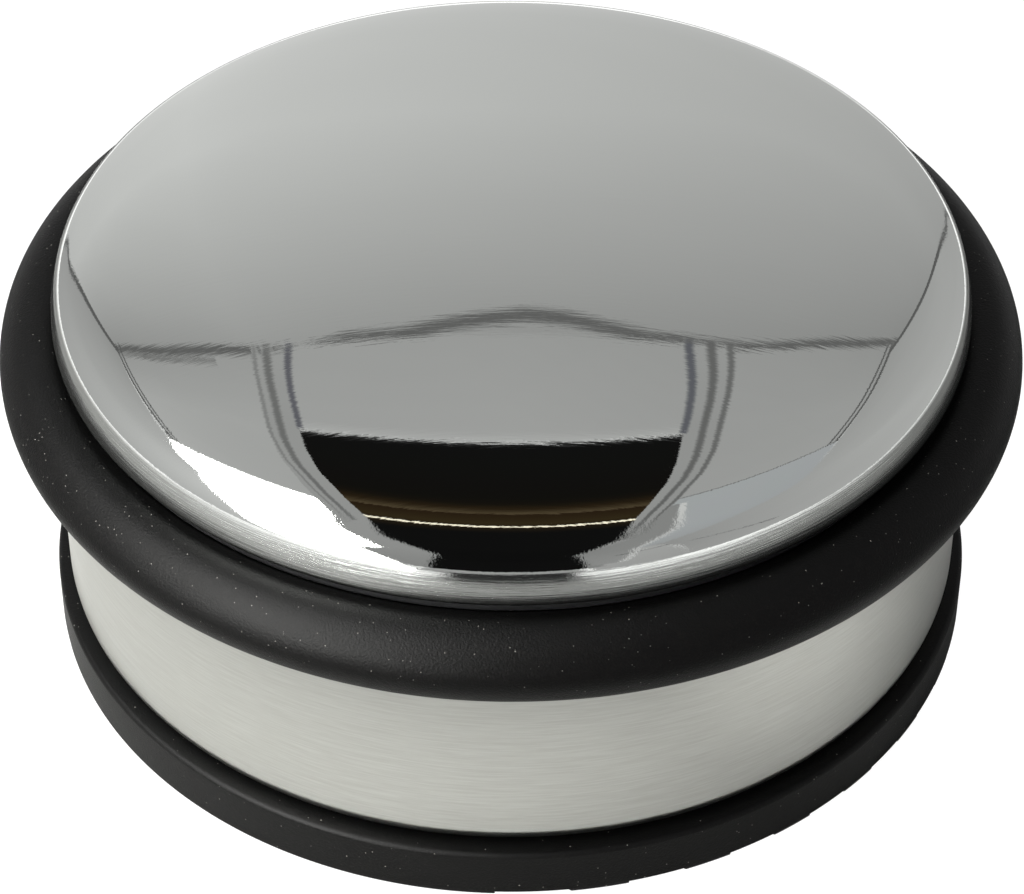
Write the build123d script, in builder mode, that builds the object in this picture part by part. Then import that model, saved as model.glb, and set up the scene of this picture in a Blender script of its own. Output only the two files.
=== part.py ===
import os
from math import radians, sin

from build123d import *

# Free-standing floor door stop: a weighted brushed drum on a rubber foot, with a thick rubber
# bumper ring and a polished domed cap. It stands by its own weight and nothing on it moves.
# Millimetres. +Z is up, the origin is the centre of the underside, and the tread grooves of
# the foot run along X.

# Bumper ring
ring_outer_radius = 50.0
ring_tube_radius = 4.0
ring_centre_height = 31.0
ring_centre_radius = ring_outer_radius - ring_tube_radius
ring_top = ring_centre_height + ring_tube_radius
ring_bottom = ring_centre_height - ring_tube_radius

# Rubber foot
foot_radius = 46.35
foot_thickness = 5.4
foot_edge_round = 0.4
foot_centre_hole_radius = 10.5
tread_pitch = 8.8
tread_groove_width = 4.8
tread_groove_depth = 0.45
tread_groove_count = 9

# Drum, a deep-drawn cup with a raised dish in its floor for the clamp bolt's head
drum_radius = 45.1
drum_sheet = 0.9
drum_corner_radius = 2.1
drum_top = ring_bottom
drum_floor_top = foot_thickness + drum_sheet
dish_radius = 12.0
dish_depth = 5.0
dish_corner_radius = 1.5
dish_underside = foot_thickness + dish_depth

# Cap, a domed pressing whose lower edge is turned in under the plate that it holds.
# Its outline is a chain of tangent arcs, from the skirt up to the crown.
cap_skirt_radius = 44.6
cap_sheet = 0.8
cap_hem_bend = 1.0
cap_hem_inner_radius = 39.0
cap_bottom = ring_top + 0.3
cap_outline = (  # radius and turned angle of each arc
    (9.6, 17.0),    # drafted skirt
    (2.94, 49.0),   # rim corner
    (18.4, 8.5),    # shoulder, flattening in steps towards the crown
    (26.0, 4.3),
    (53.0, 2.2),
    (101.0, 2.8),
    (146.0, 0.9),
)

# Cap plate and its nut
plate_radius = 43.3
plate_thickness = 2.5
plate_bottom = cap_bottom + cap_sheet

# Ring seat, a ribbed spool between the drum and the cap
seat_ring_clearance = 0.1
seat_lip_radius = 43.5
seat_wall = 3.0
seat_web = 2.5
seat_bore_radius = 9.0
seat_rib_count = 6
seat_rib_width = 2.4
seat_waist_radius = ring_centre_radius - ring_tube_radius - seat_ring_clearance

# Ballast
ballast_radius = 44.0
ballast_top = drum_top - 0.2
ballast_round = 2.6
ballast_top_chamfer = 1.0
ballast_dish_clearance = 0.3

# Clamp bolt, M8 x 30, with its washers and nut
bolt_radius = 3.95
bolt_length = 30.0
bolt_tip_chamfer = 1.0
bolt_clearance_radius = 4.5
hexagon_width = 13.0
hexagon_bevel = 0.9
bolt_head_height = 5.3
nut_height = 6.5
nut_bore_radius = 4.0
flat_washer_radius = 8.0
flat_washer_bore_radius = 4.2
flat_washer_thickness = 1.6
spring_washer_radius = 7.4
spring_washer_bore_radius = 4.1
spring_washer_thickness = 2.1
spring_washer_split = 1.2
spring_washer_split_angle = 20.0

# Foot screws, M4 x 10 pan heads, each over a plain washer in a recess of the foot
screw_count = 3
screw_circle_radius = 30.0
screw_start_angle = 90.0
screw_radius = 1.95
screw_length = 10.0
screw_tip_chamfer = 0.5
screw_head_radius = 4.0
screw_head_height = 2.2
screw_head_round = 0.9
screw_cross_width = 0.9
screw_cross_length = 4.4
screw_cross_depth = 1.2
screw_clearance_radius = 2.3
screw_thread_hole_radius = 2.0
screw_thread_hole_depth = 8.0
screw_washer_radius = 4.5
screw_washer_bore_radius = 2.15
screw_washer_thickness = 0.8
foot_recess_radius = 5.0
foot_recess_depth = 3.4

# Heights of the bolt stack below the drum's dish, and of the foot screws
flat_washer_bottom = dish_underside - flat_washer_thickness
spring_washer_bottom = flat_washer_bottom - spring_washer_thickness
bolt_head_bottom = spring_washer_bottom - bolt_head_height
nut_bottom = plate_bottom - nut_height
screw_washer_bottom = foot_recess_depth - screw_washer_thickness
screw_head_bottom = screw_washer_bottom - screw_head_height


def screw_places():
    return PolarLocations(screw_circle_radius, screw_count, screw_start_angle)


def cut_circles(height, radius, depth):
    """Cuts the same round hole, depth long and upwards from height, at each foot screw."""
    with BuildSketch(Plane.XY.offset(height)) as outline:
        with screw_places():
            Circle(radius)
    extrude(outline.sketch, amount=depth, mode=Mode.SUBTRACT)


def round_disc(height, radius, thickness, bore_radius=0.0):
    """Adds a disc from height upwards, with a bore if a radius for it is given."""
    with BuildSketch(Plane.XY.offset(height)) as outline:
        Circle(radius)
        if bore_radius:
            Circle(bore_radius, mode=Mode.SUBTRACT)
    extrude(outline.sketch, amount=thickness)


def bevelled_hexagon(height, thickness):
    """Adds a hexagonal prism from height upwards with its corners turned off at both ends."""
    corner_radius = hexagon_width / 2 / sin(radians(60.0))
    with BuildSketch(Plane.XY.offset(height)) as outline:
        RegularPolygon(corner_radius, 6)
    extrude(outline.sketch, amount=thickness)
    with BuildSketch(Plane.XZ) as turned_outline:
        with BuildLine():
            Polyline(
                (0, height),
                (corner_radius - hexagon_bevel, height),
                (corner_radius, height + hexagon_bevel / 2),
                (corner_radius, height + thickness - hexagon_bevel / 2),
                (corner_radius - hexagon_bevel, height + thickness),
                (0, height + thickness),
                close=True,
            )
        make_face()
    revolve(turned_outline.sketch, axis=Axis.Z, mode=Mode.INTERSECT)


# Domed cap: sheet of one thickness, revolved. The crown arc closes the outline on the axis.
with BuildPart() as dome_cap:
    with BuildSketch(Plane.XZ):
        with BuildLine():
            with BuildLine(mode=Mode.PRIVATE) as skin:
                hem = Line((cap_hem_inner_radius, cap_bottom), (cap_skirt_radius - cap_hem_bend, cap_bottom))
                last_arc = JernArc(hem @ 1, hem % 1, cap_hem_bend, 90.0)
                for arc_radius, arc_turn in cap_outline:
                    last_arc = JernArc(last_arc @ 1, last_arc % 1, arc_radius, arc_turn)
                crown_angle = 90.0 - sum(arc_turn for arc_radius, arc_turn in cap_outline)
                crown_radius = (last_arc @ 1).X / sin(radians(crown_angle))
                JernArc(last_arc @ 1, last_arc % 1, crown_radius, crown_angle)
            offset(skin.wires()[0], amount=cap_sheet, side=Side.LEFT)
        make_face()
    revolve(axis=Axis.Z)

# Steel plate held in the cap's turned-in edge, and the nut welded under its centre
with BuildPart() as cap_plate:
    round_disc(plate_bottom, plate_radius, plate_thickness, bolt_clearance_radius)

with BuildPart() as weld_nut:
    bevelled_hexagon(nut_bottom, nut_height)
    with BuildSketch(Plane.XY.offset(nut_bottom)):
        Circle(nut_bore_radius)
    extrude(amount=nut_height, mode=Mode.SUBTRACT)

# Rubber ring, one solid torus
with BuildPart() as bumper_ring:
    with BuildSketch(Plane.XZ):
        with Locations((ring_centre_radius, ring_centre_height)):
            Circle(ring_tube_radius)
    revolve(axis=Axis.Z)

# Ring seat: grooved rim for the ring, top web, hub round the nut, and radial ribs below the web
with BuildPart() as ring_seat:
    with BuildSketch(Plane.XY.offset(drum_top)):
        Circle(seat_lip_radius)
        Circle(seat_bore_radius, mode=Mode.SUBTRACT)
    extrude(amount=cap_bottom - drum_top)
    with BuildSketch(Plane.XZ):
        with Locations((ring_centre_radius, ring_centre_height)):
            Circle(ring_tube_radius + seat_ring_clearance)
    revolve(axis=Axis.Z, mode=Mode.SUBTRACT)
    with BuildSketch(Plane.XY.offset(drum_top)):
        Circle(seat_waist_radius - seat_wall)
        Circle(seat_bore_radius + seat_wall, mode=Mode.SUBTRACT)
        with PolarLocations(0, seat_rib_count // 2):
            Rectangle(2 * seat_waist_radius, seat_rib_width, mode=Mode.SUBTRACT)
    extrude(amount=cap_bottom - drum_top - seat_web, mode=Mode.SUBTRACT)

# Drum: cup of one sheet thickness, its floor raised in the middle over the bolt's head
with BuildPart() as drum_shell:
    with BuildSketch(Plane.XZ):
        with BuildLine():
            with BuildLine(mode=Mode.PRIVATE) as skin:
                FilletPolyline(
                    (bolt_clearance_radius, dish_underside),
                    (dish_radius - dish_corner_radius / 2, dish_underside),
                    (dish_radius + dish_corner_radius / 2, foot_thickness),
                    (drum_radius, foot_thickness),
                    (drum_radius, drum_top),
                    radius=(dish_corner_radius, dish_corner_radius, drum_corner_radius),
                )
            offset(skin.wires()[0], amount=drum_sheet, side=Side.LEFT)
        make_face()
    revolve(axis=Axis.Z)
    cut_circles(foot_thickness, screw_clearance_radius, drum_sheet)

# Cast iron weight, standing on the drum's floor
with BuildPart() as ballast_weight:
    round_disc(drum_floor_top, ballast_radius, ballast_top - drum_floor_top)
    fillet(edges().filter_by(GeomType.CIRCLE).sort_by(Axis.Z)[0], radius=ballast_round)
    chamfer(edges().filter_by(GeomType.CIRCLE).sort_by(Axis.Z)[-1], length=ballast_top_chamfer)
    with BuildSketch(Plane.XY.offset(drum_floor_top)):
        Circle(dish_radius + dish_corner_radius + ballast_dish_clearance)
    extrude(amount=dish_depth + ballast_dish_clearance, mode=Mode.SUBTRACT)
    with BuildSketch(Plane.XY.offset(drum_floor_top)):
        Circle(bolt_clearance_radius)
    extrude(amount=ballast_top - drum_floor_top, mode=Mode.SUBTRACT)
    cut_circles(drum_floor_top, screw_thread_hole_radius, screw_thread_hole_depth)

# Clamp bolt with its washers, from the head upwards
with BuildPart() as clamp_bolt:
    bevelled_hexagon(bolt_head_bottom, bolt_head_height)
    round_disc(spring_washer_bottom, bolt_radius, bolt_length)
    chamfer(edges().filter_by(GeomType.CIRCLE).sort_by(Axis.Z)[-1], length=bolt_tip_chamfer)

with BuildPart() as spring_washer:
    round_disc(
        spring_washer_bottom, spring_washer_radius, spring_washer_thickness, spring_washer_bore_radius
    )
    with BuildSketch(Plane.XY.offset(spring_washer_bottom).rotated((0, 0, spring_washer_split_angle))):
        with Locations((spring_washer_radius, 0)):
            Rectangle(2 * spring_washer_bore_radius, spring_washer_split)
    extrude(amount=spring_washer_thickness, mode=Mode.SUBTRACT)

with BuildPart() as flat_washer:
    round_disc(flat_washer_bottom, flat_washer_radius, flat_washer_thickness, flat_washer_bore_radius)

# Rubber foot: disc with a rounded upper edge, straight tread grooves and recessed screw holes
with BuildPart() as rubber_foot:
    round_disc(0.0, foot_radius, foot_thickness)
    fillet(edges().filter_by(GeomType.CIRCLE).sort_by(Axis.Z)[-1], radius=foot_edge_round)
    with BuildSketch(Plane.XY):
        Circle(foot_centre_hole_radius)
    extrude(amount=foot_thickness, mode=Mode.SUBTRACT)
    with BuildSketch(Plane.XY):
        with GridLocations(0, tread_pitch, 1, tread_groove_count):
            Rectangle(2 * foot_radius, tread_groove_width)
    extrude(amount=tread_groove_depth, mode=Mode.SUBTRACT)
    cut_circles(0.0, foot_recess_radius, foot_recess_depth)
    cut_circles(0.0, screw_clearance_radius, foot_thickness)

# Foot screws and their washers, three of each in one group
with BuildPart() as foot_washers:
    with BuildSketch(Plane.XY.offset(screw_washer_bottom)):
        with screw_places():
            Circle(screw_washer_radius)
            Circle(screw_washer_bore_radius, mode=Mode.SUBTRACT)
    extrude(amount=screw_washer_thickness)

with BuildPart() as foot_screws:
    with BuildSketch(Plane.XY.offset(screw_head_bottom)):
        with screw_places():
            Circle(screw_head_radius)
    extrude(amount=screw_head_height)
    fillet(edges().filter_by(GeomType.CIRCLE).group_by(Axis.Z)[0], radius=screw_head_round)
    with BuildSketch(Plane.XY.offset(screw_washer_bottom)):
        with screw_places():
            Circle(screw_radius)
    extrude(amount=screw_length)
    chamfer(edges().filter_by(GeomType.CIRCLE).group_by(Axis.Z)[-1], length=screw_tip_chamfer)
    with BuildSketch(Plane.XY.offset(screw_head_bottom)):
        with screw_places():
            Rectangle(screw_cross_length, screw_cross_width)
            Rectangle(screw_cross_width, screw_cross_length)
    extrude(amount=screw_cross_depth, mode=Mode.SUBTRACT)

os.makedirs("parts", exist_ok=True)
for name, piece in (
    ("dome_cap", dome_cap),
    ("cap_plate", cap_plate),
    ("weld_nut", weld_nut),
    ("bumper_ring", bumper_ring),
    ("ring_seat", ring_seat),
    ("drum_shell", drum_shell),
    ("ballast_weight", ballast_weight),
    ("clamp_bolt", clamp_bolt),
    ("spring_washer", spring_washer),
    ("flat_washer", flat_washer),
    ("rubber_foot", rubber_foot),
    ("foot_screws", foot_screws),
    ("foot_washers", foot_washers),
):
    piece.part.label = name
    export_step(piece.part, f"parts/{name}.step")
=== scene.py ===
import bpy
from math import asin, cos, degrees, hypot, pi, radians, sin, tan
from mathutils import Matrix, Quaternion, Vector


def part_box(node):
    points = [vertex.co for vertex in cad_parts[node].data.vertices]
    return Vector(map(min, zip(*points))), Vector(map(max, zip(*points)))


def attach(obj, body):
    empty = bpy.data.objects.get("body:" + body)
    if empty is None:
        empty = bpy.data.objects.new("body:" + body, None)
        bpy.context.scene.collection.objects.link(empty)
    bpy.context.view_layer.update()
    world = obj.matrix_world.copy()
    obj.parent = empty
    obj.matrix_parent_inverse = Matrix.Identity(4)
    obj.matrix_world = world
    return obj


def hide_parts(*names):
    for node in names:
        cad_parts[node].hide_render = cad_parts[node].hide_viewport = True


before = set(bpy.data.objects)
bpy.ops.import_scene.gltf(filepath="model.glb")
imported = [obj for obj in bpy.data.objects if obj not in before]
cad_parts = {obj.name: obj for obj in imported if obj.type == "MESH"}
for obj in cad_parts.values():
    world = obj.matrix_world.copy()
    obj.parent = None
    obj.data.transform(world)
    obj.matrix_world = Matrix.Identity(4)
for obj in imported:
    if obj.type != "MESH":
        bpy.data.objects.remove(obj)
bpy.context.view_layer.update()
mm = 0.001
viewTurn = radians(37.5)  # where the camera stands round the object; the tread runs off to its right


def hexColor(code):
    # sRGB hex to linear RGBA
    parts = [int(code[i:i + 2], 16) / 255 for i in (0, 2, 4)]
    return [p / 12.92 if p <= 0.04045 else ((p + 0.055) / 1.055) ** 2.4 for p in parts] + [1.0]


def addNode(tree, kind, given):
    # one node; each key is a socket's name or number or a property, and each value is what that is
    # set to, or the output that feeds it
    node = tree.nodes.new(kind)
    for key, value in given.items():
        if isinstance(value, bpy.types.NodeSocket):
            tree.links.new(value, node.inputs[key])
        elif isinstance(key, int) or key in node.inputs:
            node.inputs[key].default_value = value
        else:
            setattr(node, key, value)
    return node


def addMath(tree, operation, first, second):
    return addNode(tree, "ShaderNodeMath", {"operation": operation, 0: first, 1: second}).outputs[0]


def addRange(tree, value, low, high, toLow=0.0, toHigh=1.0, smooth=False):
    # takes low..high to toLow..toHigh and stops at both ends
    return addNode(tree, "ShaderNodeMapRange", {
        "interpolation_type": "SMOOTHSTEP" if smooth else "LINEAR", "Value": value,
        "From Min": low, "From Max": high, "To Min": toLow, "To Max": toHigh,
    }).outputs["Result"]


def addNoise(tree, place, scale, detail, roughness):
    given = {"Vector": place, "Scale": scale, "Detail": detail, "Roughness": roughness}
    return addNode(tree, "ShaderNodeTexNoise", given).outputs[0]


def addBump(tree, height, distance, onto=None):
    # a bump that stands distance mm proud at most, laid onto another one if there is one
    given = {"Strength": 1.0, "Distance": distance * mm, "Height": height}
    if onto is not None:
        given["Normal"] = onto
    return addNode(tree, "ShaderNodeBump", given).outputs[0]


def scaled(tree, vector, factors):
    given = {"operation": "MULTIPLY", 0: vector, 1: factors}
    return addNode(tree, "ShaderNodeVectorMath", given).outputs[0]


def mixColors(tree, part, first, second):
    # first where part is 0, second where it is 1; each is a hex code or the output of a node
    colors = [hexColor(c) if isinstance(c, str) else c for c in (first, second)]
    given = {"data_type": "RGBA", 0: part, 6: colors[0], 7: colors[1]}
    return addNode(tree, "ShaderNodeMix", given).outputs[2]


def newMaterial(name):
    # a material without a shader yet, and where on the object each point of it lies
    material = bpy.data.materials.new(name)
    material.use_nodes = True
    tree = material.node_tree
    tree.nodes.clear()
    return material, tree, addNode(tree, "ShaderNodeTexCoord", {}).outputs["Object"]


def finishMaterial(tree, shader):
    addNode(tree, "ShaderNodeOutputMaterial", {"Surface": shader.outputs[0]})


def turned(point):
    # from mm with the camera on the -Y side to metres in the shared frame
    x, y, z = point
    c, s = cos(viewTurn), sin(viewTurn)
    return ((x * c - y * s) * mm, (x * s + y * c) * mm, z * mm)


def tracePath(start, heading, moves, step):
    # walks an outline: ("go", length) straight on, ("bend", radius, angle) along an arc, left
    # positive; gives points with their headings, so that sheet metal can be given its second face
    x, z = start
    course = radians(heading)
    trail = [(x, z, course)]
    for move in moves:
        if move[0] == "go":
            count = max(1, round(move[1] / step))
            for k in range(count):
                x += cos(course) * move[1] / count
                z += sin(course) * move[1] / count
                trail.append((x, z, course))
        else:
            radius, turn = move[1], radians(move[2])
            finest = 4  # degrees of an arc that one step may take
            count = max(2, round(radius * abs(turn) / step), round(abs(move[2]) / finest))
            for k in range(count):
                part = turn / count
                chord = 2 * radius * sin(abs(part) / 2)
                x += cos(course + part / 2) * chord
                z += sin(course + part / 2) * chord
                course += part
                trail.append((x, z, course))
    return trail


def sheetOutline(trail, thickness):
    # closed outline of a sheet: the traced face, then the other face back again, on its left
    other = [(x - thickness * sin(c), z + thickness * cos(c)) for x, z, c in trail]
    return [(x, z) for x, z, c in trail] + other[::-1]


def newPiece(name, verts, faces):
    mesh = bpy.data.meshes.new(name)
    mesh.from_pydata(verts, [], faces)
    piece = bpy.data.objects.new(name, mesh)
    bpy.context.collection.objects.link(piece)
    return piece


def turnOnAxis(name, outline, segments, closed=True):
    # revolves an outline of (radius, height) round Z; points on the axis become one vertex
    onAxis = 1e-7
    verts, rings = [], []
    for radius, height in outline:
        if radius < onAxis:
            rings.append([len(verts)] * segments)
            verts.append((0.0, 0.0, height))
        else:
            rings.append(list(range(len(verts), len(verts) + segments)))
            angles = [2 * pi * k / segments for k in range(segments)]
            verts += [(radius * cos(a), radius * sin(a), height) for a in angles]
    faces = []
    pairs = list(zip(rings, rings[1:] + rings[:1])) if closed else list(zip(rings, rings[1:]))
    for lower, upper in pairs:
        for k in range(segments):
            n = (k + 1) % segments
            corners = [lower[k], lower[n], upper[n], upper[k]]
            face = [v for i, v in enumerate(corners) if v != corners[i - 1]]
            if len(face) > 2:
                faces.append(face)
    piece = newPiece(name, verts, faces)
    piece.data.validate()
    return piece


def smoothPiece(piece, sharpAngle):
    mesh = piece.data
    mesh.polygons.foreach_set("use_smooth", [True] * len(mesh.polygons))
    mesh.set_sharp_from_angle(angle=radians(sharpAngle))
    mesh.update()


def fitPiece(piece, material, slot, *nodes):
    piece.data.materials.clear()
    piece.data.materials.append(material)
    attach(piece, "root")
    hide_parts(*nodes)


polishedSteelLook = {
    "color": "d6d8d5",
    "centreRoughness": 0.012,
    "rimRoughness": 0.03,
    "skirtRoughness": 0.2,
    "wheelReach": 110.0,    # mm in front of the axis, round which the buffing marks run
    "markLength": 5.0,      # mm
    "markWidth": 0.42,      # mm
    "markHeight": 0.0016,   # mm
    "grain": 0.2,           # mm, drawn coarser than the real polishing grain so that it shows
    "grainHeight": 0.0035,  # mm
    "lineLength": 9.0,      # mm
    "lineWidth": 0.22,      # mm, coarser than the real turning lines, for the same reason
    "lineHeight": 0.03,     # mm
    "satinFrom": 40.3,      # mm from the axis, where the finer polish starts to give way
    "satinTo": 43.5,
    "linesFrom": 44.1,
    "linesTo": 44.5,
}


def polishedSteel(look):
    # mirror-polished 304 stainless: buffed on a wheel, so edges in its reflection fray along the
    # wheel's path. The wheel reaches less well towards the rim, where a fine grain scatters bright
    # specks into the mirror, and the skirt keeps the lines it got when it was turned
    material, tree, place = newMaterial("stainlessSteelMirrorPolished")
    flat = scaled(tree, place, (1, 1, 0))
    reach = addNode(tree, "ShaderNodeVectorMath", {"operation": "LENGTH", 0: flat}).outputs["Value"]
    satin = addRange(tree, reach, look["satinFrom"] * mm, look["satinTo"] * mm, smooth=True)
    lined = addRange(tree, reach, look["linesFrom"] * mm, look["linesTo"] * mm)

    # buffing marks: short arcs round a centre in front of the object
    wheel = Vector(turned((0.0, -look["wheelReach"], 0.0)))
    given = {"operation": "SUBTRACT", 0: flat, 1: wheel}
    fromWheel = addNode(tree, "ShaderNodeVectorMath", given).outputs[0]
    parts = addNode(tree, "ShaderNodeSeparateXYZ", {0: fromWheel}).outputs
    angle = addMath(tree, "ARCTAN2", parts["Y"], parts["X"])
    length = addNode(tree, "ShaderNodeVectorMath", {"operation": "LENGTH", 0: fromWheel})
    arcs = addNode(tree, "ShaderNodeCombineXYZ", {"X": angle, "Y": length.outputs["Value"]})
    stretch = (look["wheelReach"] / look["markLength"], 1 / look["markWidth"] / mm, 0)
    stretched = scaled(tree, arcs.outputs[0], stretch)
    marks = addNoise(tree, stretched, scale=1.0, detail=3.0, roughness=0.6)
    markBump = addBump(tree, marks, look["markHeight"])

    grain = addNoise(tree, place, scale=1 / look["grain"] / mm, detail=2.0, roughness=0.5)
    grainBump = addBump(
        tree, addMath(tree, "MULTIPLY", grain, satin), look["grainHeight"], onto=markBump
    )

    # turning lines: long round the skirt, fine up and down it
    rise = addNode(tree, "ShaderNodeSeparateXYZ", {0: place}).outputs
    profile = addMath(tree, "SUBTRACT", rise["Z"], reach)
    around = addNode(tree, "ShaderNodeCombineXYZ", {"X": rise["X"], "Y": rise["Y"], "Z": profile})
    long, fine = 1 / look["lineLength"] / mm, 1 / look["lineWidth"] / mm
    drawn = scaled(tree, around.outputs[0], (long, long, fine))
    lines = addNoise(tree, drawn, scale=1.0, detail=3.0, roughness=0.6)
    lineBump = addBump(
        tree, addMath(tree, "MULTIPLY", lines, lined), look["lineHeight"], onto=grainBump
    )

    polish = addRange(tree, satin, 0.0, 1.0, look["centreRoughness"], look["rimRoughness"])
    rough = addRange(tree, lined, 0.0, 1.0, polish, look["skirtRoughness"])
    finishMaterial(tree, addNode(tree, "ShaderNodeBsdfPrincipled", {
        "Base Color": hexColor(look["color"]), "Metallic": 1.0, "Roughness": rough,
        "Normal": lineBump,
    }))
    return material


brushedSteelLook = {
    "color": "c3c4c0",
    "streakColor": "b7b7b3",
    "shadeFrom": 0.35,      # of the noise that the streaks are drawn from
    "shadeTo": 0.65,
    "roughness": 0.32,
    "roughnessSpread": 0.05,
    "anisotropy": 0.7,
    "streakLength": 5.0,    # mm, along the wall
    "streakWidth": 0.16,    # mm, a little coarser than the belt's real grit so that it shows
    "streakHeight": 0.003,  # mm
}


def brushedSteel(look):
    # 304 stainless brushed round and round with a fine belt: highlights spread up and down the
    # wall, and hair-fine streaks run along it
    material, tree, place = newMaterial("stainlessSteelBrushed")
    long, fine = 1 / look["streakLength"] / mm, 1 / look["streakWidth"] / mm
    stretched = scaled(tree, place, (long, long, fine))
    streaks = addNoise(tree, stretched, scale=1.0, detail=4.0, roughness=0.65)
    shade = addRange(tree, streaks, look["shadeFrom"], look["shadeTo"])
    spread = look["roughnessSpread"]
    rough = addRange(
        tree, streaks, 0.0, 1.0, look["roughness"] - spread, look["roughness"] + spread
    )
    roundTangent = addNode(tree, "ShaderNodeTangent", {"direction_type": "RADIAL", "axis": "Z"})
    finishMaterial(tree, addNode(tree, "ShaderNodeBsdfPrincipled", {
        "Base Color": mixColors(tree, shade, look["streakColor"], look["color"]), "Metallic": 1.0,
        "Roughness": rough, "Anisotropic": look["anisotropy"],
        "Tangent": roundTangent.outputs[0], "Normal": addBump(tree, streaks, look["streakHeight"]),
    }))
    return material


ringRubberLook = {
    "name": "nitrileRubberExtrudedMatt",
    "color": "010101",
    "sandColor": "090807",
    "sandFrom": 0.48,       # of the noise that the grain is drawn from
    "sandTo": 0.7,
    # painted shade: faces that look up are drawn deeper black for the shadow of the piece above
    "paintedShadeColor": "000000",
    "paintedShadeFrom": 0.75,  # of a face's turn upwards, where 1 is level
    "paintedShadeTo": 0.95,
    "roughness": 0.46,
    "shine": 0.12,
    "grain": 0.22,          # mm, drawn coarser than the mould's blasting so that it shows
    "grainHeight": 0.05,    # mm
    "speckPitch": 0.55,     # mm
    "speckSize": 0.065,     # mm
    "speckCore": 0.5,       # of a speck's size, within which it is fully pale
    "speckShare": 0.4,      # of the places a speck could be
    "speckColor": "6a6965",
}
footRubberLook = dict(
    ringRubberLook, name="nitrileRubberMouldedMatt", color="020202", sandColor="0a0a09",
    shine=0.13, grainHeight=0.035, speckPitch=0.6, speckSize=0.07, speckShare=0.25,
    speckColor="7c7a75",
)


def mattRubber(look):
    # black nitrile rubber from a blasted mould: sandy and matt, with pale specks of dust stuck to
    # it; faces that look up are drawn deeper black, as painted shade for the shadow of the piece
    # above
    material, tree, place = newMaterial(look["name"])
    grain = addNoise(tree, place, scale=1 / look["grain"] / mm, detail=3.0, roughness=0.6)
    sandy = addRange(tree, grain, look["sandFrom"], look["sandTo"])
    sand = mixColors(tree, sandy, look["color"], look["sandColor"])

    facing = addNode(tree, "ShaderNodeTexCoord", {}).outputs["Normal"]
    upward = addNode(tree, "ShaderNodeSeparateXYZ", {0: facing}).outputs["Z"]
    # painted shade: faces that look up are darkened towards black, standing in for the shadow of the
    # piece above
    paintedShade = addRange(tree, upward, look["paintedShadeFrom"], look["paintedShadeTo"])
    body = mixColors(tree, paintedShade, sand, look["paintedShadeColor"])

    given = {"Vector": place, "Scale": 1 / look["speckPitch"] / mm}
    cells = addNode(tree, "ShaderNodeTexVoronoi", given).outputs
    pick = addNode(tree, "ShaderNodeSeparateColor", {0: cells["Color"]}).outputs[0]
    chosen = addMath(tree, "LESS_THAN", pick, look["speckShare"])
    size = look["speckSize"] / look["speckPitch"]
    spot = addRange(tree, cells["Distance"], size, size * look["speckCore"])
    speck = addMath(tree, "MULTIPLY", spot, chosen)
    finishMaterial(tree, addNode(tree, "ShaderNodeBsdfPrincipled", {
        "Base Color": mixColors(tree, speck, body, look["speckColor"]),
        "Roughness": look["roughness"], "Specular IOR Level": look["shine"],
        "Normal": addBump(tree, grain, look["grainHeight"]),
    }))
    return material


def plainWorked(name, color, otherColor, metallic, roughness, grain, height):
    # the pieces inside: zinc plate is cloudy, cast iron rough and sandy, moulded plastic even
    material, tree, place = newMaterial(name)
    cloud = addNoise(tree, place, scale=1 / grain / mm, detail=5.0, roughness=0.6)
    finishMaterial(tree, addNode(tree, "ShaderNodeBsdfPrincipled", {
        "Base Color": mixColors(tree, cloud, color, otherColor), "Metallic": metallic,
        "Roughness": roughness, "Normal": addBump(tree, cloud, height),
    }))
    return material


steelMirror = polishedSteel(polishedSteelLook)
steelBrushed = brushedSteel(brushedSteelLook)
ringRubber = mattRubber(ringRubberLook)
footRubber = mattRubber(footRubberLook)
zincPlate = plainWorked(
    "mildSteelZincPlated", "b9bcc0", "a7a9a6", metallic=1.0, roughness=0.32, grain=1.2, height=0.004
)
castIron = plainWorked(
    "greyIronSandCast", "565553", "6b6966", metallic=0.6, roughness=0.7, grain=0.8, height=0.08
)
polypropylene = plainWorked(
    "polypropyleneMoulded", "1c1c1d", "222223", metallic=0.0, roughness=0.45, grain=0.5, height=0.006
)
print("materials made")


cap = {
    "sheet": 0.8,           # mm, as all lengths of the pieces
    "hemInner": 39.0,
    "hemBend": 1.0,
    # radius and turned angle of each arc, from the skirt over the rim corner towards the crown
    "arcs": [
        (9.6, 17.0), (2.94, 49.0), (18.4, 8.5), (26.0, 4.3), (53.0, 2.2), (101.0, 2.8),
        (146.0, 0.9),
    ],
    "step": 0.25,
    # over which one arc's curvature passes into the next, so that mirrored lines have no kinks:
    # least and most, and between them in proportion to the arc's radius
    "ease": (0.15, 3.0, 0.02),
    "onAxis": 0.002,        # nearer to the axis than this counts as on it
    "segments": 360,
    "sharp": 40,            # degrees
}


def easeTrail(trail, first, ease):
    # evens out how fast the outline turns, from the numbered point on: each heading becomes the
    # average of those near it, and the outline is walked again
    least, most, share = ease
    straight = 1e-6
    steps = [hypot(b[0] - a[0], b[1] - a[1]) for a, b in zip(trail, trail[1:])]
    along = [0.0]
    for s in steps:
        along.append(along[-1] + s)
    span = [(a + b) / 2 for a, b in zip([0.0] + steps, steps + [0.0])]
    headings = []
    for i, here in enumerate(along):
        rate = (trail[i][2] - trail[i - 1][2]) / steps[i - 1] if i else 0.0
        near = min(most, max(least, share / max(rate, straight)))
        near = min(near, here - along[first], along[-1] - here)
        weights = [max(0.0, near - abs(s - here)) * w for s, w in zip(along, span)]
        total = sum(weights)
        average = sum(w * p[2] for w, p in zip(weights, trail))
        headings.append(average / total if total > 0 else trail[i][2])
    x, z, course = trail[0]
    walked = [(x, z, course)]
    for s, a, b in zip(steps, headings, headings[1:]):
        x += cos((a + b) / 2) * s
        z += sin((a + b) / 2) * s
        walked.append((x, z, b))
    return walked


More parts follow.
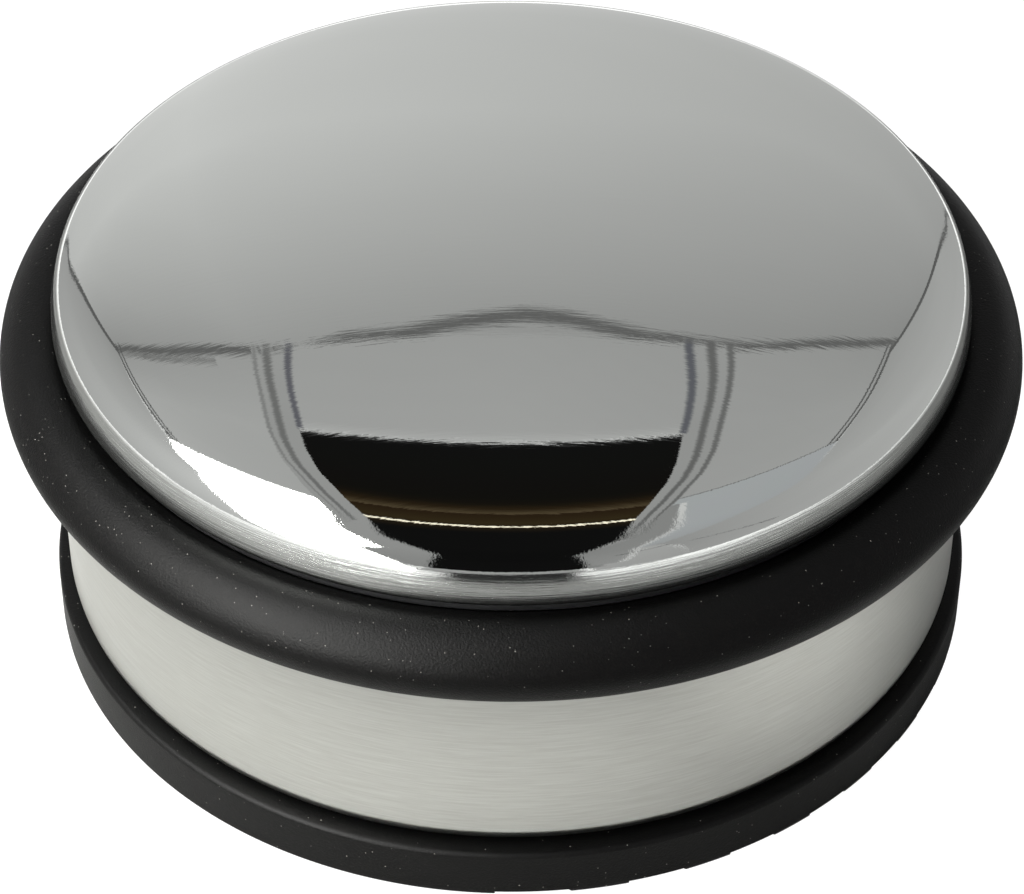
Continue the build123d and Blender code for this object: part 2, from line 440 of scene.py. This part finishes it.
capLow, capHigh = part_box("dome_cap")
skirt = capHigh.x / mm
capStart = (cap["hemInner"], capLow.z / mm)
capMoves = [("go", skirt - cap["hemBend"] - cap["hemInner"]), ("bend", cap["hemBend"], 90.0)]
hemPoints = len(tracePath(capStart, 0.0, capMoves, cap["step"])) - 1
capMoves += [("bend", radius, turn) for radius, turn in cap["arcs"]]
reached = tracePath(capStart, 0.0, capMoves, cap["step"])[-1]
crownTurn = 180.0 - degrees(reached[2])  # left to turn until the outline runs level on the axis
capMoves.append(("bend", reached[0] / sin(radians(crownTurn)), crownTurn))
capTrail = easeTrail(tracePath(capStart, 0.0, capMoves, cap["step"]), hemPoints, cap["ease"])
drift = capTrail[-1][0]  # how far off the axis the eased outline ends, taken back along the dome
capTrail = [
    (x - drift * (skirt - x) / skirt if i > hemPoints else x, z, c)
    for i, (x, z, c) in enumerate(capTrail)
]
capOutline = [
    (0.0 if abs(x) < cap["onAxis"] else x * mm, z * mm)
    for x, z in sheetOutline(capTrail, cap["sheet"])
]
domeCap = turnOnAxis("domeCap", capOutline, cap["segments"])
smoothPiece(domeCap, cap["sharp"])
fitPiece(domeCap, steelMirror, "polished_steel", "dome_cap")
print("cap made")


ring = {"segments": 360, "sides": 72, "sharp": 60}
ringLow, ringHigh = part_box("bumper_ring")
tube = (ringHigh.z - ringLow.z) / 2
ringCentre = ringHigh.x - tube
ringMiddle = (ringLow.z + ringHigh.z) / 2
ringAngles = [2 * pi * k / ring["sides"] for k in range(ring["sides"])]
ringOutline = [(ringCentre + tube * cos(a), ringMiddle + tube * sin(a)) for a in ringAngles]
bumperRing = turnOnAxis("bumperRing", ringOutline, ring["segments"])
smoothPiece(bumperRing, ring["sharp"])
fitPiece(bumperRing, ringRubber, "ring_rubber", "bumper_ring")
print("ring made")


drum = {
    "sheet": 0.9,
    "cornerRadius": 2.1,
    "dishRadius": 12.0,
    "dishDepth": 5.0,
    "dishSlope": 1.5,
    "dishBend": 1.5,
    "boltHole": 4.5,
    "step": 0.6,
    "segments": 360,
    "sharp": 40,
}
drumLow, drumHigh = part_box("drum_shell")
wall = drumHigh.x / mm
floorLevel = drumLow.z / mm
dishSide = hypot(drum["dishSlope"], drum["dishDepth"])
dishAngle = degrees(asin(drum["dishDepth"] / dishSide))
dishTangent = drum["dishBend"] * tan(radians(dishAngle / 2))
halfSlope = drum["dishSlope"] / 2
drumMoves = [
    ("go", drum["dishRadius"] - halfSlope - drum["boltHole"] - dishTangent),
    ("bend", drum["dishBend"], -dishAngle),
    ("go", dishSide - 2 * dishTangent),
    ("bend", drum["dishBend"], dishAngle),
    ("go", wall - drum["cornerRadius"] - drum["dishRadius"] - halfSlope - dishTangent),
    ("bend", drum["cornerRadius"], 90.0),
    ("go", drumHigh.z / mm - floorLevel - drum["cornerRadius"]),
]
drumStart = (drum["boltHole"], floorLevel + drum["dishDepth"])
drumTrail = tracePath(drumStart, 0.0, drumMoves, drum["step"])
drumOutline = [(x * mm, z * mm) for x, z in sheetOutline(drumTrail, drum["sheet"])]
drumShell = turnOnAxis("drumShell", drumOutline, drum["segments"])
smoothPiece(drumShell, drum["sharp"])
fitPiece(drumShell, steelBrushed, "brushed_steel", "drum_shell")
print("drum made")


foot = {
    "topRound": 0.5,
    "bottomRound": 0.35,
    "centreHole": 10.5,
    "step": 2.0,
    "treadPitch": 8.8,
    "grooveWidth": 4.8,
    "grooveDepth": 0.45,
    "grooves": 9,
    "recess": 5.0,
    "recessDepth": 3.4,
    "screwHole": 2.3,
    "screwCircle": 30.0,
    "screws": 3,
    "firstScrew": 90,       # degrees
    "cutPast": 1.0,         # how far the cutters reach past the faces
    "cutAcross": 1.1,       # and past the edge, as a share of the foot's radius
    "segments": 360,
    "drillSegments": 48,
    "sharp": 35,            # degrees
}


def cutAway(piece, shape):
    cut = piece.modifiers.new("cut", "BOOLEAN")
    cut.operation = "DIFFERENCE"
    cut.solver = "EXACT"
    cut.object = shape
    bpy.context.view_layer.update()
    evaluated = piece.evaluated_get(bpy.context.evaluated_depsgraph_get())
    carved = bpy.data.meshes.new_from_object(evaluated)
    piece.modifiers.clear()
    old = piece.data
    piece.data = carved
    bpy.data.meshes.remove(old)
    bpy.data.objects.remove(shape, do_unlink=True)


def boxShape(name, low, high):
    xs, ys, zs = zip(low, high)
    verts = [(x * mm, y * mm, z * mm) for x in xs for y in ys for z in zs]
    sides = [(0, 1, 3, 2), (4, 6, 7, 5), (0, 4, 5, 1), (2, 3, 7, 6), (0, 2, 6, 4), (1, 5, 7, 3)]
    return newPiece(name, verts, sides)


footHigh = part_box("rubber_foot")[1]
footEdge = footHigh.x / mm
footTop = footHigh.z / mm
footMoves = [
    ("go", footEdge - foot["centreHole"] - foot["bottomRound"]),
    ("bend", foot["bottomRound"], 90.0),
    ("go", footTop - foot["bottomRound"] - foot["topRound"]),
    ("bend", foot["topRound"], 90.0),
    ("go", footEdge - foot["centreHole"] - foot["topRound"]),
]
footTrail = tracePath((foot["centreHole"], 0.0), 0.0, footMoves, foot["step"])
footOutline = [(x * mm, z * mm) for x, z, c in footTrail]
rubberFoot = turnOnAxis("rubberFoot", footOutline, foot["segments"])
across, past, halfWidth = footEdge * foot["cutAcross"], foot["cutPast"], foot["grooveWidth"] / 2
for k in range(foot["grooves"]):
    y = (k - (foot["grooves"] - 1) / 2) * foot["treadPitch"]
    low, high = (-across, y - halfWidth, -past), (across, y + halfWidth, foot["grooveDepth"])
    cutAway(rubberFoot, boxShape("groove", low, high))
stepped = [
    (0.0, -past), (foot["recess"], -past), (foot["recess"], foot["recessDepth"]),
    (foot["screwHole"], foot["recessDepth"]), (foot["screwHole"], footTop + past),
    (0.0, footTop + past),
]
for k in range(foot["screws"]):
    angle = radians(foot["firstScrew"] + 360 / foot["screws"] * k)
    reach = foot["screwCircle"] * mm
    drillOutline = [(x * mm, z * mm) for x, z in stepped]
    drill = turnOnAxis("drill", drillOutline, foot["drillSegments"], closed=False)
    drill.data.transform(Matrix.Translation((reach * cos(angle), reach * sin(angle), 0)))
    cutAway(rubberFoot, drill)
smoothPiece(rubberFoot, foot["sharp"])
fitPiece(rubberFoot, footRubber, "foot_rubber", "rubber_foot")
print("foot made")


inside = {
    "cap_plate": zincPlate, "weld_nut": zincPlate, "clamp_bolt": zincPlate,
    "spring_washer": zincPlate, "flat_washer": zincPlate, "foot_screws": zincPlate,
    "foot_washers": zincPlate, "ballast_weight": castIron, "ring_seat": polypropylene,
}
for name, material in inside.items():
    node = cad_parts[name]
    node.data.materials.clear()
    node.data.materials.append(material)
print("inside pieces finished")


# A small tent of white cloth stands round the object and is what the polished cap mirrors. A
# softbox shines in at its front left, and it is open to a dark room in front between two hanging
# straps. The camera looks through its cloth. Places are in mm with the camera on the -Y side, and
# a cloth's tone is the sRGB grey, or colour, that the cap shows of it.
tent = {
    "left": -262.0,
    "right": 222.0,
    "back": 300.0,
    "front": -300.0,
    "roof": 368.0,
    "strapLeft": (-107.0, -90.0),
    "strapRight": (71.0, 88.5),
    "openingEdge": 208.0,
    "capReflects": 0.66,
    "softbox": 12.0,    # how much brighter than white paper in full light
    "seamTone": 82,
    "white": (255, 255, 252),
    "faint": (86, 86, 85),  # along the softbox's edges, so that they stay smooth in the mirror
}
glowCloth, glowTree = newMaterial("tentCloth")[:2]
glowColor = addNode(glowTree, "ShaderNodeAttribute", {"attribute_name": "glow"}).outputs["Color"]
finishMaterial(
    glowTree, addNode(glowTree, "ShaderNodeEmission", {"Color": glowColor, "Strength": 1.0})
)


def toneToLight(tone):
    # radiance a cloth needs for the cap to show it in that tone
    code = "%02x%02x%02x" % tuple(round(t) for t in tone)
    return [part / tent["capReflects"] for part in hexColor(code)[:3]]


def cloth(name, points, tones, gain=1.0, cuts=8):
    # one hanging cloth: rows of points with the tone at each, both evenly blended in between
    def mix(a, b, part):
        return [p + (q - p) * part for p, q in zip(a, b)]

    tones = [[t if isinstance(t, tuple) else (t, t, t) for t in row] for row in tones]
    verts, lights, faces = [], [], []
    rows, columns = (len(points) - 1) * cuts, (len(points[0]) - 1) * cuts
    for j in range(rows + 1):
        r = min(j // cuts, len(points) - 2)
        up = j / cuts - r
        for i in range(columns + 1):
            c = min(i // cuts, len(points[0]) - 2)
            on = i / cuts - c
            for net, found in ((points, verts), (tones, lights)):
                lower = mix(net[r][c], net[r][c + 1], on)
                upper = mix(net[r + 1][c], net[r + 1][c + 1], on)
                found.append(mix(lower, upper, up))
    for j in range(rows):
        for i in range(columns):
            k = j * (columns + 1) + i
            faces.append((k, k + 1, k + columns + 2, k + columns + 1))
    panel = newPiece(name, [turned(v) for v in verts], faces)
    glow = panel.data.attributes.new("glow", "FLOAT_COLOR", "POINT")
    for i, tone in enumerate(lights):
        glow.data[i].color = [gain * part for part in toneToLight(tone)] + [1.0]
    panel.data.materials.append(glowCloth)
    panel.visible_camera = False


def row(y, z, *xs):
    return [(x, y, z) for x in xs]


left, right, back, front, roof = (tent[k] for k in ("left", "right", "back", "front", "roof"))
outL, inL = tent["strapLeft"]
inR, outR = tent["strapRight"]
opening, seamTone, white, faint = (tent[k] for k in ("openingEdge", "seamTone", "white", "faint"))

cloth("tentBack", [row(back, z, left, -110, right) for z in (0, 200, roof)],
      [[176, 198, 150], [180, 192, 150], [140, 148, 132]])
cloth("tentRoofLeft",
      [row(back, roof, left, outL), [(-253, 209, roof), (outL, 209, roof)],
       [(-244, 121, roof), (outL, 62, roof)]],
      [[141, 148], [163, 158], [168, 156]])
cloth("tentRoofMiddle", [row(y, roof, inL, 0, inR) for y in (back, opening + 12, opening)],
      [[152, 150, 147], [154, 155, 151], [166, 167, 163]])
cloth("tentRoofRight",
      [row(back, roof, outR, right), [(outR, 209, roof), (219, 209, roof)],
       [(outR, 79, roof), (217, 132, roof)]],
      [[146, 140], [149, 150], [150, 153]])
cloth("tentLeft",
      [[(left, back, 0), (left, 50, 0), (left, front, 0)],
       [(left, back, 200), (left, 50, 200), (left, front, 200)],
       [(left, back, roof), (-246, 50, roof), (-250, front, roof)]],
      [[146, 162, 188], [148, 170, 218], [138, 176, 240]])
cloth("tentRight",
      [[(right, back, 0), (right, 50, 0), (right, front, 0)],
       [(right, back, 200), (right, 50, 200), (right, front, 200)],
       [(right, back, roof), (216, 50, roof), (216, front, roof)]],
      [[150, 168, 146], [156, 164, 140], [146, 154, 138]])

# the softbox behind the left front: roof, side and front of the tent glow there
cloth("softboxRoof",
      [[(-243, 121, roof), (outL, 62, roof)], [(-243, 113, roof), (outL - 1, 54, roof)],
       [(-245, -16, roof), (-122, -16, roof)], [(-250, front, roof), (-185, front, roof)]],
      [[faint] * 2, [white] * 2, [white] * 2, [white] * 2], tent["softbox"])
cloth("softboxSide",
      [[(-243, y, roof) for y in (121, 1, -133, -200, front)],
       [(-243, 120, roof - 2), (-248, 1, 312), (-257, -133, 146), (-258, -185, 40),
        (-259, front, 16)],
       [(-243, 120, roof - 3), (-249, 1, 303), (-259, -133, 130), (-259, -185, 20),
        (-259, front, 0)]],
      [[white] * 5, [white] * 5, [faint] * 5], tent["softbox"])
cloth("softboxFront",
      [row(front + 1, z, left, near - 8, near)
       for near, z in ((-105, 0), (-144, 128), (-200, 244), (-190, roof))],
      [[white, white, faint]] * 4, tent["softbox"])

# right of the straps: cooler cloth, with a darker overlap beside the strap
cloth("sideRoof",
      [[(outR, 79, roof), (217, 132, roof)], [(outR, front, roof), (216, front, roof)]],
      [[(154, 157, 159), (154, 156, 159)], [(154, 157, 160), (146, 148, 150)]])
cloth("sideFront", [row(front, 0, outR, right), row(front, roof, outR, 216)],
      [[152, 150], [158, 156]])
cloth("overlapRoof", [row(62, roof - 3, outR, 94), row(front + 2, roof - 3, outR, 176)],
      [[128, 128], [126, 130]])
cloth("overlapFront", [row(front + 3, 90, outR, 120), row(front + 3, roof, outR, 176)],
      [[134, 138], [126, 130]])

# the dark room through the opening, with a warm lamp behind a shelf's edge: how far back, and tone
room = [
    (opening, 70), (opening - 5, 16), (125, (16, 15, 13)), (110, (20, 17, 13)), (94, (36, 28, 17)),
    (77, (72, 62, 46)), (75, (37, 27, 17)), (45, (46, 38, 23)), (34, (40, 32, 20)),
    (33.5, (252, 246, 226)), (28.5, (252, 240, 214)), (28, (34, 27, 18)), (8, 14), (front, 13),
]
cloth("darkRoom", [row(y, roof + 1, inL - 40, inR + 30) for y, tone in room],
      [[tone, tone] for y, tone in room], cuts=3)
cloth("darkFront",
      [row(front, 52, inL - 15, inR + 25), row(front, roof + 1, inL - 40, inR + 30)],
      [[14, 14], [13, 13]])
cloth("paleFront", [row(front, 0, inL - 20, inR + 20), row(front, 52, inL, inR)],
      [[130, 126], [160, 152]])
cloth("darkTray", [row(front + 2, 20, -64, 66), row(front + 2, 1, -62, 64), row(-150, 1, -44, 46)],
      [[40, 40]] * 3, cuts=4)


def strap(name, edges, body, lines):
    # a hanging band under the roof and down in front: its two edges from back to front, then
    # downwards, and its seams as thin darker lines
    places = ((back, roof - 1), (opening, roof - 1), (20, roof - 1), (front + 2, roof - 1),
              (front + 2, 240), (front + 2, 52))
    fades = (0, 4, 6, 12, 14, 20)
    cloth(name, [row(y, z, *sides) for (y, z), sides in zip(places, edges[:1] + edges)],
          [[body - fade] * 2 for fade in fades])
    for number, (x, width, end, tone) in enumerate(lines):
        xs = (x - width, x - width / 3, x + width / 3, x + width)
        cloth(f"{name}Seam{number}", [row(y, roof - 2, *xs) for y in (back, end)],
              [[body, tone, tone, body]] * 2, cuts=2)


strap("strapLeft", ((outL, inL), (-115, -87), (-190, -100), (-204, -92), (-110, -86)), 148,
      [(-106.0, 1.6, 0, 122), (-99.5, 3.0, 10, 104), (-89.5, 2.2, opening, (90, 90, 96))])
strap("strapRight", ((inR, outR), (73, outR), (92, 104), (84, 104), (80, 100)), 146,
      [(71.0, 2.6, opening, (88, 89, 95)), (80.0, 2.8, -60, 96), (88.0, 2.2, -60, 100)])

# where back and roof meet, a gathered hem that sags a little in the middle
hem = [
    (left, 291, 367), (-187, 291, 367), (-141, 293, 367), (-104, 298, 367), (-65, 299, 366),
    (-44, 299, 365), (-28, 299, 359), (-12, 299, 354), (6, 299, 350), (23, 299, 353),
    (35, 299, 358), (56, 299, 366), (76, 299, 367), (92, 299, 367), (123, 299, 364),
    (158, 299, 362), (right, 299, 360),
]
cloth("hemBack",
      [[(x, y + rise, z) if y < 299 else (x, y, z + rise) for x, y, z in hem]
       for rise in (8, 3, -3, -8)],
      [[tone] * len(hem) for tone in (146, 92, 92, 146)], cuts=3)
cloth("hemLeft", [row(y, roof - 2, left, -200, -130) for y in (283, 276)],
      [[132, 112, 108], [140, 108, 140]])

# seams along the corners, the roof's edges and the panels
for name, start, end, width in (
    ("cornerLeft", (left + 1, back - 2, 0), (left + 1, back - 2, roof), (0, -12, 0)),
    ("cornerRight", (right - 1, back - 2, 0), (right - 1, back - 2, roof), (0, -10, 0)),
    ("edgeLeft", (left + 1, back, roof - 2), (-245, 121, roof - 2), (5, 0, 0)),
    ("edgeLeftInner", (left + 11, back, roof - 2), (-236, 118, roof - 2), (3.5, 0, 0)),
    ("edgeRight", (right - 1, back, roof - 2), (216, 132, roof - 2), (-5, 0, 0)),
    ("edgeRightInner", (right - 11, back, roof - 2), (206, 128, roof - 2), (-3.5, 0, 0)),
    ("wallSeamRight", (right - 1, -150, 60), (right - 1, -265, 235), (0, 0, 7)),
    ("frontSeamRight", (right - 2, front + 4, 290), (130, front + 4, 225), (0, 0, 9)),
    ("panelEdgeRight", (outR, 79, roof - 2), (217, 132, roof - 2), (0, 2, 0)),
):
    moved = [tuple(p + w for p, w in zip(point, width)) for point in (start, end)]
    cloth(name, [[start, end], moved], [[seamTone] * 2, [seamTone + 8] * 2], cuts=2)
cloth("overlapHem",
      [[(94, 62, roof - 4), (176, front + 5, roof - 4), (120, front + 5, 90)],
       [(99, 62, roof - 4), (184, front + 5, roof - 4), (128, front + 5, 90)]],
      [[188] * 3, [184] * 3])

floor = {
    "nearColor": "9e9e9d",   # paper beside the object, in the softbox's light
    "paintedLightColor": "e0e0de",   # and on its far side from the softbox, paler: a painted pool of light
    "paintedLightFrom": 0.03,        # metres, as all lengths here
    "paintedLightTo": 0.055,
    "farPaintedShadeColor": "6a6a6a",    # paper towards the tent's walls, darker: painted shade
    "nearWithin": 0.06,
    "farBeyond": 0.082,
    "plainWithin": 0.13,
    "fadeOut": 0.26,
    "glow": 1.5,
    "shadowShown": 0.35,  # share of the shadow seen directly; the pieces mirror all of it
    "size": 4.0,
    "drop": 0.00002,      # just under the tread, so that the two faces don't coincide
    "contact": 0.0006,    # what is nearer than this stands on the paper
}
floorPaper, floorTree, floorPlace = newMaterial("paperSweep")
given = {"operation": "LENGTH", 0: floorPlace}
away = addNode(floorTree, "ShaderNodeVectorMath", given).outputs["Value"]
fade = addRange(floorTree, away, floor["plainWithin"], floor["fadeOut"], smooth=True)
# painted shade: the paper darkens away from the object towards the tent's walls
farPaintedShade = addRange(floorTree, away, floor["nearWithin"], floor["farBeyond"], smooth=True)
rightward = Vector(turned((1 / mm, 0.0, 0.0)))
given = {"operation": "DOT_PRODUCT", 0: floorPlace, 1: rightward}
aside = addNode(floorTree, "ShaderNodeVectorMath", given).outputs["Value"]
# painted light: the paper is paler on the side away from the softbox
paintedLight = addRange(floorTree, aside, floor["paintedLightFrom"], floor["paintedLightTo"])
paperWithPaintedLight = mixColors(floorTree, paintedLight, floor["nearColor"], floor["paintedLightColor"])
paperPaintedLightAndShade = mixColors(floorTree, farPaintedShade, paperWithPaintedLight, floor["farPaintedShadeColor"])
rays = addNode(floorTree, "ShaderNodeLightPath", {}).outputs
lifted = addRange(floorTree, rays["Is Camera Ray"], 0.0, 1.0, 0.0, 1.0 - floor["shadowShown"])
paper = addNode(floorTree, "ShaderNodeBsdfDiffuse", {"Color": paperPaintedLightAndShade})
sweep = addNode(floorTree, "ShaderNodeEmission", {"Color": (1, 1, 1, 1), "Strength": floor["glow"]})
surface = addNode(floorTree, "ShaderNodeMixShader", {
    0: addMath(floorTree, "MAXIMUM", fade, lifted), 1: paper.outputs[0], 2: sweep.outputs[0],
})
# clear from below and for the tread that stands on it, so that the tread shows and is lit
under = addMath(floorTree, "LESS_THAN", rays["Ray Length"], floor["contact"])
fromBelow = addNode(floorTree, "ShaderNodeNewGeometry", {}).outputs["Backfacing"]
clear = addNode(floorTree, "ShaderNodeBsdfTransparent", {})
finishMaterial(floorTree, addNode(floorTree, "ShaderNodeMixShader", {
    0: addMath(floorTree, "MAXIMUM", fromBelow, under), 1: surface.outputs[0], 2: clear.outputs[0],
}))
half, low = floor["size"] / 2, -floor["drop"]
corners = [(-half, -half, low), (half, -half, low), (half, half, low), (-half, half, low)]
floorSheet = newPiece("floor", corners, [(0, 1, 2, 3)])
floorSheet.data.materials.append(floorPaper)

world = bpy.data.worlds.new("paleRoom")
world.use_nodes = True
world.node_tree.nodes["Background"].inputs["Color"].default_value = (1, 1, 1, 1)
world.node_tree.nodes["Background"].inputs["Strength"].default_value = 1.0
bpy.context.scene.world = world
print("studio built")


view = {
    "distance": 354.85,     # mm
    "elevation": 40.47,     # degrees
    "aim": (0.0, 0.0, 20.3),
    "roll": 0.17,
    "lens": 124.35,
    "sensor": 36.0,
    "shift": (0.001, -0.035),
    "clip": (0.01, 20.0),   # metres
}
camera = bpy.data.cameras.new("camera")
camera.sensor_width = view["sensor"]
camera.lens = view["lens"]
camera.shift_x, camera.shift_y = view["shift"]
camera.clip_start, camera.clip_end = view["clip"]
cameraObject = bpy.data.objects.new("camera", camera)
bpy.context.collection.objects.link(cameraObject)
elevation = radians(view["elevation"])
cameraObject.location = turned((
    0.0, -view["distance"] * cos(elevation), view["aim"][2] + view["distance"] * sin(elevation)
))
cameraObject.rotation_mode = "QUATERNION"
towards = (Vector(turned(view["aim"])) - cameraObject.location).to_track_quat("-Z", "Y")
cameraObject.rotation_quaternion = towards @ Quaternion((0, 0, 1), radians(view["roll"]))
bpy.context.scene.camera = cameraObject
bpy.context.scene.view_settings.view_transform = "Standard"
print("camera set")
